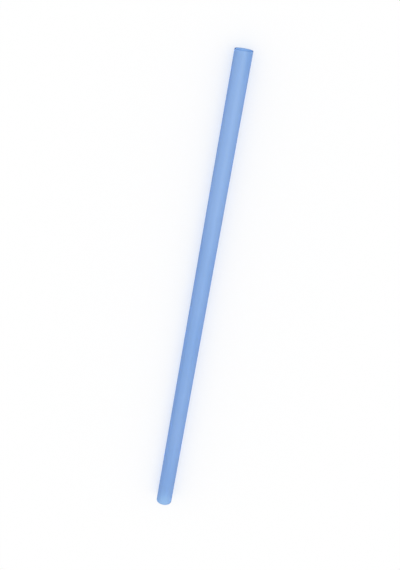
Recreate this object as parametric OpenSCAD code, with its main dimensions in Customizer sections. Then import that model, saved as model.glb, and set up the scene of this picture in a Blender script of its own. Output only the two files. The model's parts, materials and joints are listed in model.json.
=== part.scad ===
// Plain drinking straw: one thin plastic tube, extruded in one length and cut
// square at both ends. It lies on its side as it comes to rest, with its axis
// along Y and the surface under it at z = 0.

/* [Tube] */
// Outside diameter of the tube
outer_d = 7; // [4:0.1:12]
// Thickness of the tube's wall
wall = 0.2; // [0.14:0.01:0.5]
// Length from one cut end to the other
tube_length = 210; // [120:1:260]

/* [Cut ends] */
// Radius that softens the inner and the outer edge of each cut
lip_r = 0.06; // [0.02:0.01:0.09]

/* [Hidden] */
// Share of the wall's thickness that one softened edge may take at most
lip_limit_share = 0.45;
// Fineness of the drawn circles
$fn = 96;

outer_r = outer_d / 2;
inner_r = outer_r - wall;
lip = min(lip_r, wall * lip_limit_share);

// Rectangle from the origin to size, with its four corners rounded to radius r
module rounded_rectangle(size, r) {
    translate([r, 0])
        square([size.x - 2 * r, size.y]);
    translate([0, r])
        square([size.x, size.y - 2 * r]);
    for (x = [r, size.x - r], y = [r, size.y - r])
        translate([x, y])
            circle(r);
}

// The wall cut along its length: a long strip between the bore and the outside
module wall_section() {
    translate([inner_r, -tube_length / 2])
        rounded_rectangle([wall, tube_length], lip);
}

module straw_tube() {
    color("#96B9E6")
        translate([0, 0, outer_r])
            rotate([90, 0, 0])
                rotate_extrude()
                    wall_section();
}

straw_tube();
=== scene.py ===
"""A plain drinking straw of translucent blue plastic, lying on a pale studio floor.

The tube is modelled around the packed part's frame and takes its sizes from it.
Everything is in metres, with +Y along the tube's axis and +Z up from the floor.
"""

import json
import math

import bmesh
import bpy
from bpy.props import FloatProperty, FloatVectorProperty, IntProperty, IntVectorProperty, PointerProperty
from mathutils import Euler, Matrix, Vector


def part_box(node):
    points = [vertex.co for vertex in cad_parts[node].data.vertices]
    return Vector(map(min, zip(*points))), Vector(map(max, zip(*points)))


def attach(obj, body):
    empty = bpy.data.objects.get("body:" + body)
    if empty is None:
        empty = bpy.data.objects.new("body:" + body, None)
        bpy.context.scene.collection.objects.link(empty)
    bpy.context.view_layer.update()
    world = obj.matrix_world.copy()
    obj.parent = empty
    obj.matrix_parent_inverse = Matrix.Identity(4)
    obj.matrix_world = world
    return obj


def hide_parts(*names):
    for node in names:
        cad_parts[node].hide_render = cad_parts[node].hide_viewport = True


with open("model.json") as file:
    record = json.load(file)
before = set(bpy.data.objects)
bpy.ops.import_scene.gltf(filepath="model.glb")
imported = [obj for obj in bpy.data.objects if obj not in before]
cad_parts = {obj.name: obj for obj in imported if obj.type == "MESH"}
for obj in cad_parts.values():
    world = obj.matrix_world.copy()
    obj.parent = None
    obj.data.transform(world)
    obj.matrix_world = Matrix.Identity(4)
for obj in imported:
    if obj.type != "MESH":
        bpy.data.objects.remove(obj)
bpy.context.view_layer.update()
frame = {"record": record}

bl_info = {
    "name": "Drinking Straw",
    "version": (1, 0, 0),
    "blender": (4, 5, 0),
    "location": "3D Viewport > Sidebar > Straw",
    "description": "Models a plain drinking straw in translucent plastic and sets it on a studio floor",
    "category": "Object",
}

NODE = "straw_tube"
BODY = "root"

# Sizes that the packed part gives
MM = 0.001
dims = {mount["name"]: mount["dims"] for mount in frame["record"]["mounts"]}
tube_low, tube_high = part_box(NODE)
packed_length = tube_high.y - tube_low.y
packed_outer_r = dims["outside"]["r_mm"] * MM
packed_bore_r = dims["channel"]["r_mm"] * MM
packed_lip = (packed_length - dims["outside"]["length_mm"] * MM) / 2

# Welding distance for vertices that meet, far under the smallest edge
WELD = 1e-7
# Turn between two faces from which their edge counts as a rim of the cut
RIM_TURN = math.pi / 4
# Sides of the round floor
FLOOR_SIDES = 64
# Octaves of the noise, and its levels between which a mark fades in
NOISE_OCTAVES = 3
NOISE_LOW, NOISE_HIGH = 0.35, 0.65
# Sockets of a Mix node for colours and for plain values: share, lower, upper and result
COLOUR_SOCKETS = (0, 6, 7, 2)
VALUE_SOCKETS = (0, 2, 3, 0)
# Kinds of rays: those that see the stage, and those that carry light on to matt surfaces
SEEN_RAYS = ("Is Camera Ray", "Is Glossy Ray", "Is Transmission Ray")
LIGHT_RAYS = ("Is Shadow Ray", "Is Diffuse Ray")
# Share of the texture's height that each of the two long walls takes up, and each of the two cut ends
WALL_SHARE = 0.46
LIP_SHARE = (1 - 2 * WALL_SHARE) / 2
# Lip radii from the end at which the cut ends' painted shade and roughness begin, and at which they are
# full
CUT_BEGINS, CUT_FULL = 2, 0.5
# Direction of the tube's axis
ALONG = (0, 1, 0)
# White of the light, with full alpha
WHITE = (1, 1, 1, 1)
# Spacing of the nodes in a material's layout
NODE_COLUMN = 220
NODE_ROW = 220


class StrawSizes(bpy.types.PropertyGroup):
    """Sizes of the tube and fineness of its mesh"""

    length: FloatProperty(
        name="Length", description="Length from one cut end to the other",
        default=packed_length, min=0.05, unit="LENGTH", precision=5)
    outer_r: FloatProperty(
        name="Outside radius", description="Radius of the tube's outside",
        default=packed_outer_r, min=0.001, unit="LENGTH", precision=5)
    bore_r: FloatProperty(
        name="Bore radius", description="Radius of the channel through the tube",
        default=packed_bore_r, min=0.0005, unit="LENGTH", precision=5)
    lip: FloatProperty(
        name="Lip radius", description="Radius of the softened edges at each cut end",
        default=packed_lip, min=0.00001, unit="LENGTH", precision=6)
    around: IntProperty(
        name="Faces around", description="Faces around the tube", default=160, min=24)
    lip_segments: IntProperty(
        name="Lip segments", description="Faces across each softened edge", default=5, min=1)
    stretches: IntProperty(
        name="Stretches", description="Stretches that the tube's length is cut into", default=24, min=2)


class StrawFinish(bpy.types.PropertyGroup):
    """Colours and finish of the plastic"""

    body_colour: FloatVectorProperty(
        name="Body", description="Tint of the plastic", subtype="COLOR", min=0, max=1,
        default=(0.595, 0.775, 0.912))
    streak_colour: FloatVectorProperty(
        name="Streaks", description="Tint of the denser streaks that run along the tube",
        subtype="COLOR", min=0, max=1, default=(0.505, 0.71, 0.89))
    haze_colour: FloatVectorProperty(
        name="Haze", description="Tint of the paler, milkier patches", subtype="COLOR", min=0, max=1,
        default=(0.65, 0.81, 0.927))
    # Painted shade: the cut ends get a deeper blue that stands in for the darker look of the wall seen
    # along its length
    cut_painted_shade: FloatVectorProperty(
        name="Cut edge", description="Deeper tint of the cut ends, where the wall is seen along its length",
        subtype="COLOR", min=0, max=1, default=(0.17, 0.32, 0.56))
    depth_colour: FloatVectorProperty(
        name="Depth", description="Colour that light takes on along the wall",
        subtype="COLOR", min=0, max=1, default=(0.20, 0.58, 0.97))
    depth_density: FloatProperty(
        name="Depth density", description="Strength of that colour for each metre of plastic",
        default=1600, min=0)
    shade_colour: FloatVectorProperty(
        name="Shade", description="Tint that one face gives the light that falls through it",
        subtype="COLOR", min=0, max=1, default=(0.83, 0.89, 0.96))
    clearness: FloatProperty(
        name="Clearness", description="Share of the light that passes through a wall",
        default=0.6, min=0, max=1, subtype="FACTOR")
    refraction: FloatProperty(
        name="Refractive index", description="Refractive index of polypropylene", default=1.49, min=1)
    skin_colour: FloatVectorProperty(
        name="Skin", description="Tint of the smooth skin, deeper where the skin is seen at a slant",
        subtype="COLOR", min=0, max=1, default=(0.78, 0.858, 0.95))
    skin_share: FloatProperty(
        name="Skin share", description="Share of the skin over the plastic",
        default=1, min=0, max=1, subtype="FACTOR")
    skin_refraction: FloatProperty(
        name="Skin refraction", description="Refractive index of the skin, which near 1 adds little shine",
        default=1.02, min=1)
    skin_roughness: FloatProperty(
        name="Skin roughness", description="Roughness of the skin", default=0.33, min=0, max=1)
    satin: FloatVectorProperty(
        name="Satin range", description="Least and greatest roughness of the drawn surface",
        size=2, min=0, max=1, default=(0.29, 0.37))
    cut_roughness: FloatProperty(
        name="Cut roughness", description="Roughness of the cut ends", default=0.55, min=0, max=1)
    streak_width: FloatProperty(
        name="Streak width", description="Width of one streak around the tube",
        default=0.0026, min=0.0001, unit="LENGTH", precision=4)
    streak_length: FloatProperty(
        name="Streak length", description="Length of one streak along the tube",
        default=0.33, min=0.001, unit="LENGTH")
    haze_width: FloatProperty(
        name="Haze width", description="Width of one milky patch around the tube",
        default=0.011, min=0.0001, unit="LENGTH", precision=4)
    haze_length: FloatProperty(
        name="Haze length", description="Length of one milky patch along the tube",
        default=0.055, min=0.001, unit="LENGTH")
    line_width: FloatProperty(
        name="Line width", description="Width of the fine lines left by the extruder's die",
        default=0.0006, min=0.0001, unit="LENGTH", precision=5)
    line_length: FloatProperty(
        name="Line length", description="Length of one fine line along the tube",
        default=0.2, min=0.001, unit="LENGTH")
    line_depth: FloatProperty(
        name="Line depth", description="Depth of the fine lines",
        default=0.0000025, min=0, unit="LENGTH", precision=7)


class StrawStage(bpy.types.PropertyGroup):
    """Floor, light and camera"""

    floor_radius: FloatProperty(
        name="Floor radius", description="Radius of the floor", default=4, unit="LENGTH")
    floor_drop: FloatProperty(
        name="Floor drop", description="How far the floor lies under the tube's lowest line",
        default=0.00001, unit="LENGTH", precision=6)
    floor_colour: FloatVectorProperty(
        name="Floor", description="Colour of the floor", subtype="COLOR", min=0, max=1,
        default=(0.95, 0.95, 0.95))
    floor_white: FloatProperty(
        name="Floor white", description="Share of plain white in the floor as it is seen",
        default=0.4, min=0, max=1, subtype="FACTOR")
    backdrop: FloatProperty(
        name="Backdrop", description="Brightness of plain white as it is seen", default=1, min=0, max=1)
    room_light: FloatProperty(
        name="Room light", description="Strength of the even light from all sides", default=0.92, min=0)
    key_light: FloatProperty(
        name="Key light", description="Strength of the broad main light", default=0.45, min=0)
    key_spread: FloatProperty(
        name="Key spread", description="Width of the main light in the sky", subtype="ANGLE",
        default=math.radians(50))
    key_turn: FloatVectorProperty(
        name="Key turn", description="Turn of the main light from straight overhead", subtype="EULER",
        default=(math.radians(8), math.radians(22), 0))
    lens: FloatProperty(
        name="Lens", description="Focal length of the camera", default=50, unit="CAMERA")
    sensor: FloatProperty(
        name="Sensor", description="Length of the sensor's longer side", default=36, unit="CAMERA")
    picture: IntVectorProperty(
        name="Picture", description="Width and height of the picture in pixels", size=2,
        default=(400, 570))
    upper_end: FloatVectorProperty(
        name="Upper end", description="Place of the nearer end's centre in the picture", size=2,
        default=(244, 49.5))
    lower_end: FloatVectorProperty(
        name="Lower end", description="Place of the farther end's centre in the picture", size=2,
        default=(164, 500))
    depth_share: FloatProperty(
        name="Depth share", description="Depth of the farther end as a share of the nearer end's",
        default=1.3, min=1)


def add_node(tree, kind, place, **settings):
    """One node at a column and row of the tree's layout, with its settings"""
    node = tree.nodes.new(kind)
    column, row = place
    node.location = (column * NODE_COLUMN, -row * NODE_ROW)
    for name, value in settings.items():
        setattr(node, name, value)
    return node


def fill(node, values):
    """Sets a node's own inputs by name"""
    for name, value in values.items():
        node.inputs[name].default_value = value
    return node


def rgba(colour):
    """A colour with full alpha"""
    return (*colour, 1)


def pattern(tree, coordinates, width, length, row):
    """Noise in marks of a width around the tube and a length along it"""
    scale = (1 / width, 1 / length, 1 / width)
    stretch = fill(add_node(tree, "ShaderNodeMapping", (1, row)), {"Scale": scale})
    noise = fill(add_node(tree, "ShaderNodeTexNoise", (2, row)), {"Scale": 1, "Detail": NOISE_OCTAVES})
    tree.links.new(coordinates, stretch.inputs["Vector"])
    tree.links.new(stretch.outputs["Vector"], noise.inputs["Vector"])
    return noise.outputs[0]


def spread(tree, value, low, high, place, to=(0, 1)):
    """Maps value from low and high to the two numbers of to, with soft ends"""
    node = add_node(tree, "ShaderNodeMapRange", place, interpolation_type="SMOOTHSTEP")
    least, most = to
    fill(node, {"From Min": low, "From Max": high, "To Min": least, "To Max": most})
    tree.links.new(value, node.inputs["Value"])
    return node.outputs["Result"]


def tinted(tree, factor, under, colour, place):
    """Mixes a colour over what lies under it, by a factor"""
    node = add_node(tree, "ShaderNodeMix", place, data_type="RGBA")
    share, lower, upper, result = COLOUR_SOCKETS
    tree.links.new(factor, node.inputs[share])
    if isinstance(under, bpy.types.NodeSocket):
        tree.links.new(under, node.inputs[lower])
    else:
        node.inputs[lower].default_value = rgba(under)
    node.inputs[upper].default_value = rgba(colour)
    return node.outputs[result]


def valued(tree, factor, under, value, place):
    """Mixes a plain value over the one under it, by a factor"""
    node = add_node(tree, "ShaderNodeMix", place, data_type="FLOAT")
    share, lower, upper, result = VALUE_SOCKETS
    tree.links.new(factor, node.inputs[share])
    tree.links.new(under, node.inputs[lower])
    node.inputs[upper].default_value = value
    return node.outputs[result]


def ray_mask(tree, kinds, place):
    """One for rays of the named kinds and zero for all others"""
    column, row = place
    path = add_node(tree, "ShaderNodeLightPath", place)
    mask = path.outputs[kinds[0]]
    for step, kind in enumerate(kinds[1:], 1):
        either = add_node(tree, "ShaderNodeMath", (column + step, row), operation="MAXIMUM")
        tree.links.new(mask, either.inputs[0])
        tree.links.new(path.outputs[kind], either.inputs[1])
        mask = either.outputs[0]
    return mask


def mixed_shader(tree, mask, others, masked, place):
    """One shader for the masked rays, and another for all others"""
    node = add_node(tree, "ShaderNodeMixShader", place)
    tree.links.new(mask, node.inputs[0])
    tree.links.new(others, node.inputs[1])
    tree.links.new(masked, node.inputs[2])
    return node.outputs[0]


def cut_mask(tree, coordinates, sizes, row):
    """One at the cut ends, falling to zero a little past their softened lips"""
    parts = add_node(tree, "ShaderNodeSeparateXYZ", (1, row))
    from_middle = add_node(tree, "ShaderNodeMath", (2, row), operation="ABSOLUTE")
    tree.links.new(coordinates, parts.inputs[0])
    tree.links.new(parts.outputs["Y"], from_middle.inputs[0])
    half = sizes.length / 2
    begins = half - CUT_BEGINS * sizes.lip
    full = half - CUT_FULL * sizes.lip
    return spread(tree, from_middle.outputs[0], begins, full, (3, row))


def straw_plastic(finish, sizes):
    """Translucent blue plastic with the faint lengthwise marks of its extrusion"""
    material = bpy.data.materials.new("satin_blue_plastic")
    material.use_nodes = True
    tree = material.node_tree
    tree.nodes.clear()
    coordinates = add_node(tree, "ShaderNodeTexCoord", (0, 1)).outputs["Object"]

    streaks = pattern(tree, coordinates, finish.streak_width, finish.streak_length, 0)
    streaks = spread(tree, streaks, NOISE_LOW, NOISE_HIGH, (3, 0))
    haze = pattern(tree, coordinates, finish.haze_width, finish.haze_length, 1)
    haze = spread(tree, haze, NOISE_LOW, NOISE_HIGH, (3, 1))
    lines = pattern(tree, coordinates, finish.line_width, finish.line_length, 2)
    cut = cut_mask(tree, coordinates, sizes, 3)

    colour = tinted(tree, streaks, finish.body_colour, finish.streak_colour, (4, 0))
    colour = tinted(tree, haze, colour, finish.haze_colour, (5, 0))
    # Painted shade: the cut ends take a deeper tint that stands in for the wall seen edge-on
    colour = tinted(tree, cut, colour, finish.cut_painted_shade, (6, 0))

    satin = spread(tree, lines, NOISE_LOW, NOISE_HIGH, (4, 2), to=finish.satin)
    rough = valued(tree, cut, satin, finish.cut_roughness, (5, 2))

    relief = fill(add_node(tree, "ShaderNodeBump", (5, 3)), {"Strength": 1, "Distance": finish.line_depth})
    tree.links.new(lines, relief.inputs["Height"])

    plastic = fill(
        add_node(tree, "ShaderNodeBsdfPrincipled", (7, 0)),
        {"IOR": finish.refraction, "Transmission Weight": finish.clearness,
         "Coat Weight": finish.skin_share, "Coat IOR": finish.skin_refraction,
         "Coat Roughness": finish.skin_roughness, "Coat Tint": rgba(finish.skin_colour)})
    tree.links.new(colour, plastic.inputs["Base Color"])
    tree.links.new(rough, plastic.inputs["Roughness"])
    tree.links.new(relief.outputs["Normal"], plastic.inputs["Normal"])

    depth = fill(
        add_node(tree, "ShaderNodeVolumeAbsorption", (7, 3)),
        {"Color": rgba(finish.depth_colour), "Density": finish.depth_density})
    shade = fill(
        add_node(tree, "ShaderNodeBsdfTransparent", (7, 4)), {"Color": rgba(finish.shade_colour)})
    light = ray_mask(tree, LIGHT_RAYS, (6, -2))
    surface = mixed_shader(tree, light, plastic.outputs["BSDF"], shade.outputs["BSDF"], (8, 0))
    output = add_node(tree, "ShaderNodeOutputMaterial", (9, 0))
    tree.links.new(surface, output.inputs["Surface"])
    tree.links.new(depth.outputs["Volume"], output.inputs["Volume"])
    return material


def lay_texture(bm, sizes):
    """Unrolls the tube: across the texture goes once around, up it goes along the section's outline"""
    layer = bm.loops.layers.uv.new("OFBake")
    half = sizes.length / 2
    lip_start = half - sizes.lip
    middle_r = (sizes.outer_r + sizes.bore_r) / 2

    def around(point):
        """Angle of a point around the tube's axis"""
        return math.atan2(sizes.outer_r - point.z, point.x)

    def from_wall(point):
        """How far a point lies outside the middle of the wall"""
        return math.hypot(point.x, point.z - sizes.outer_r) - middle_r

    def up(point, centre):
        """Place up the texture of a point on the face with that centre"""
        along = (point.y + half) / sizes.length
        if abs(centre.y) < lip_start:
            return along * WALL_SHARE if from_wall(centre) > 0 else 1 - LIP_SHARE - along * WALL_SHARE
        past_wall = max(abs(point.y) - lip_start, 0)
        turn = math.atan2(past_wall, from_wall(point)) / math.pi
        return WALL_SHARE + turn * LIP_SHARE if centre.y > 0 else 1 - turn * LIP_SHARE

    for face in bm.faces:
        centre = face.calc_center_median()
        middle = around(centre)
        for loop in face.loops:
            step = math.remainder(around(loop.vert.co) - middle, math.tau)
            loop[layer].uv = ((math.pi + middle + step) / math.tau, up(loop.vert.co, centre))


def tube_mesh(sizes):
    """The wall's section turned round the axis, with softened lips at both ends"""
    bm = bmesh.new()
    wall = sizes.outer_r - sizes.bore_r
    middle_r = (sizes.outer_r + sizes.bore_r) / 2
    axis_height = Vector((0, 0, sizes.outer_r))
    section = Matrix.Translation(axis_height + Vector((middle_r, 0, 0)))
    section @= Matrix.Diagonal((wall / 2, sizes.length / 2, 1, 1))
    bmesh.ops.create_grid(bm, x_segments=1, y_segments=1, size=1, matrix=section)
    bmesh.ops.delete(bm, geom=bm.faces[:], context="FACES_ONLY")
    bmesh.ops.spin(
        bm, geom=bm.verts[:] + bm.edges[:], cent=axis_height, axis=ALONG,
        angle=math.tau, steps=sizes.around, use_merge=True)

    bm.normal_update()
    rims = [edge for edge in bm.edges if edge.calc_face_angle() > RIM_TURN]
    bmesh.ops.bevel(
        bm, geom=rims, offset=sizes.lip, offset_type="OFFSET", segments=sizes.lip_segments,
        profile=0.5, affect="EDGES", material=-1)

    straight = sizes.length - 2 * sizes.lip
    places = [straight * step / sizes.stretches - straight / 2 for step in range(1, sizes.stretches)]
    # One more cut close to each lip keeps the shading of the rounded edge off the long wall
    places += [end * (straight / 2 - wall) for end in (-1, 1)]
    for place in places:
        bmesh.ops.bisect_plane(
            bm, geom=bm.verts[:] + bm.edges[:] + bm.faces[:], plane_co=(0, place, 0), plane_no=ALONG)

    bmesh.ops.remove_doubles(bm, verts=bm.verts[:], dist=WELD)
    bmesh.ops.recalc_face_normals(bm, faces=bm.faces[:])
    for face in bm.faces:
        face.smooth = True
    lay_texture(bm, sizes)
    return bm


class STRAW_OT_add_tube(bpy.types.Operator):
    """Models the straw's tube and gives it its plastic"""

    bl_idname = "straw.add_tube"
    bl_label = "Add Straw Tube"
    bl_options = {"REGISTER"}

    def execute(self, context):
        sizes = context.scene.straw_sizes
        bm = tube_mesh(sizes)
        mesh = bpy.data.meshes.new("straw_body")
        bm.to_mesh(mesh)
        bm.free()
        mesh.materials.append(straw_plastic(context.scene.straw_finish, sizes))
        tube = bpy.data.objects.new("straw_body", mesh)
        context.scene.collection.objects.link(tube)
        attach(tube, BODY)
        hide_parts(NODE)
        return {"FINISHED"}


def floor_material(stage):
    """Pale floor that shows almost white and keeps a light shadow"""
    material = bpy.data.materials.new("studio_floor")
    material.use_nodes = True
    tree = material.node_tree
    tree.nodes.clear()
    paper = fill(add_node(tree, "ShaderNodeBsdfDiffuse", (3, 0)), {"Color": rgba(stage.floor_colour)})
    white = fill(add_node(tree, "ShaderNodeEmission", (3, 1)), {"Strength": stage.backdrop})
    lighter = add_node(tree, "ShaderNodeMixShader", (4, 1))
    lighter.inputs[0].default_value = stage.floor_white
    tree.links.new(paper.outputs[0], lighter.inputs[1])
    tree.links.new(white.outputs[0], lighter.inputs[2])
    seen = ray_mask(tree, SEEN_RAYS, (0, -1))
    shown = mixed_shader(tree, seen, paper.outputs[0], lighter.outputs[0], (5, 0))
    output = add_node(tree, "ShaderNodeOutputMaterial", (6, 0))
    tree.links.new(shown, output.inputs["Surface"])
    return material


def add_floor(scene, stage):
    """A wide round floor under the tube"""
    bm = bmesh.new()
    bmesh.ops.create_circle(
        bm, cap_ends=True, segments=FLOOR_SIDES, radius=stage.floor_radius,
        matrix=Matrix.Translation((0, 0, -stage.floor_drop)))
    mesh = bpy.data.meshes.new("studio_floor")
    bm.to_mesh(mesh)
    bm.free()
    mesh.materials.append(floor_material(stage))
    floor = bpy.data.objects.new("studio_floor", mesh)
    scene.collection.objects.link(floor)


def add_room(scene, stage):
    """Even light from all sides, in a room that shows white"""
    world = bpy.data.worlds.new("studio_room")
    world.use_nodes = True
    tree = world.node_tree
    tree.nodes.clear()
    even = fill(
        add_node(tree, "ShaderNodeBackground", (3, 0)), {"Color": WHITE, "Strength": stage.room_light})
    shown = fill(
        add_node(tree, "ShaderNodeBackground", (3, 1)), {"Color": WHITE, "Strength": stage.backdrop})
    seen = ray_mask(tree, SEEN_RAYS, (0, -1))
    both = mixed_shader(tree, seen, even.outputs[0], shown.outputs[0], (4, 0))
    output = add_node(tree, "ShaderNodeOutputWorld", (5, 0))
    tree.links.new(both, output.inputs["Surface"])
    scene.world = world


def add_key(scene, stage):
    """One broad main light, high over the tube's right side"""
    lamp = bpy.data.lights.new("key_light", "SUN")
    lamp.energy = stage.key_light
    lamp.angle = stage.key_spread
    key = bpy.data.objects.new("key_light", lamp)
    key.rotation_euler = Euler(stage.key_turn)
    scene.collection.objects.link(key)


def add_camera(scene, stage, sizes):
    """Looks down on the tube so that its two ends lie at their places in the picture"""
    width, height = stage.picture
    focal = stage.lens / stage.sensor * max(width, height)

    def sight(place):
        """Line of sight through a place in the picture, one unit deep"""
        return Vector(((place[0] - width / 2) / focal, (height / 2 - place[1]) / focal, -1))

    near, far = sight(stage.upper_end), sight(stage.lower_end) * stage.depth_share
    depth = sizes.length / (near - far).length
    along = (near - far).normalized()
    towards_lens = Vector((0, 0, 1))
    up = (towards_lens - along * towards_lens.dot(along)).normalized()
    turn = Matrix((along.cross(up), along, up))
    middle = (near + far) / 2 * depth

    data = bpy.data.cameras.new("camera")
    data.lens = stage.lens
    data.sensor_width = stage.sensor
    data.clip_start = sizes.outer_r
    camera = bpy.data.objects.new("camera", data)
    camera.matrix_world = Matrix.Translation(Vector((0, 0, sizes.outer_r)) - turn @ middle) @ turn.to_4x4()
    scene.collection.objects.link(camera)
    scene.camera = camera


class STRAW_OT_add_stage(bpy.types.Operator):
    """Sets the floor, the light and the camera around the straw"""

    bl_idname = "straw.add_stage"
    bl_label = "Add Studio Stage"
    bl_options = {"REGISTER"}

    def execute(self, context):
        scene = context.scene
        scene.view_settings.view_transform = "Standard"
        add_floor(scene, scene.straw_stage)
        add_room(scene, scene.straw_stage)
        add_key(scene, scene.straw_stage)
        add_camera(scene, scene.straw_stage, scene.straw_sizes)
        return {"FINISHED"}


class STRAW_PT_panel(bpy.types.Panel):
    """Lists the straw's sizes, finish and stage with their operators"""

    bl_idname = "STRAW_PT_panel"
    bl_label = "Drinking Straw"
    bl_space_type = "VIEW_3D"
    bl_region_type = "UI"
    bl_category = "Straw"

    def draw(self, context):
        layout = self.layout
        layout.use_property_split = True
        scene = context.scene
        for group in (scene.straw_sizes, scene.straw_finish, scene.straw_stage):
            box = layout.box()
            box.label(text=group.__doc__)
            for name in group.__annotations__:
                box.prop(group, name)
        layout.operator(STRAW_OT_add_tube.bl_idname)
        layout.operator(STRAW_OT_add_stage.bl_idname)


CLASSES = (StrawSizes, StrawFinish, StrawStage, STRAW_OT_add_tube, STRAW_OT_add_stage, STRAW_PT_panel)
GROUPS = {"straw_sizes": StrawSizes, "straw_finish": StrawFinish, "straw_stage": StrawStage}


def register():
    """Makes the classes known and gives the scene its groups of values"""
    for cls in CLASSES:
        bpy.utils.register_class(cls)
    for name, group in GROUPS.items():
        setattr(bpy.types.Scene, name, PointerProperty(type=group))


def unregister():
    """Takes away what register added"""
    for name in GROUPS:
        delattr(bpy.types.Scene, name)
    for cls in reversed(CLASSES):
        bpy.utils.unregister_class(cls)


def main():
    """Builds the straw and its stage"""
    register()
    bpy.ops.straw.add_tube()
    bpy.ops.straw.add_stage()


if __name__ == "__main__":
    main()
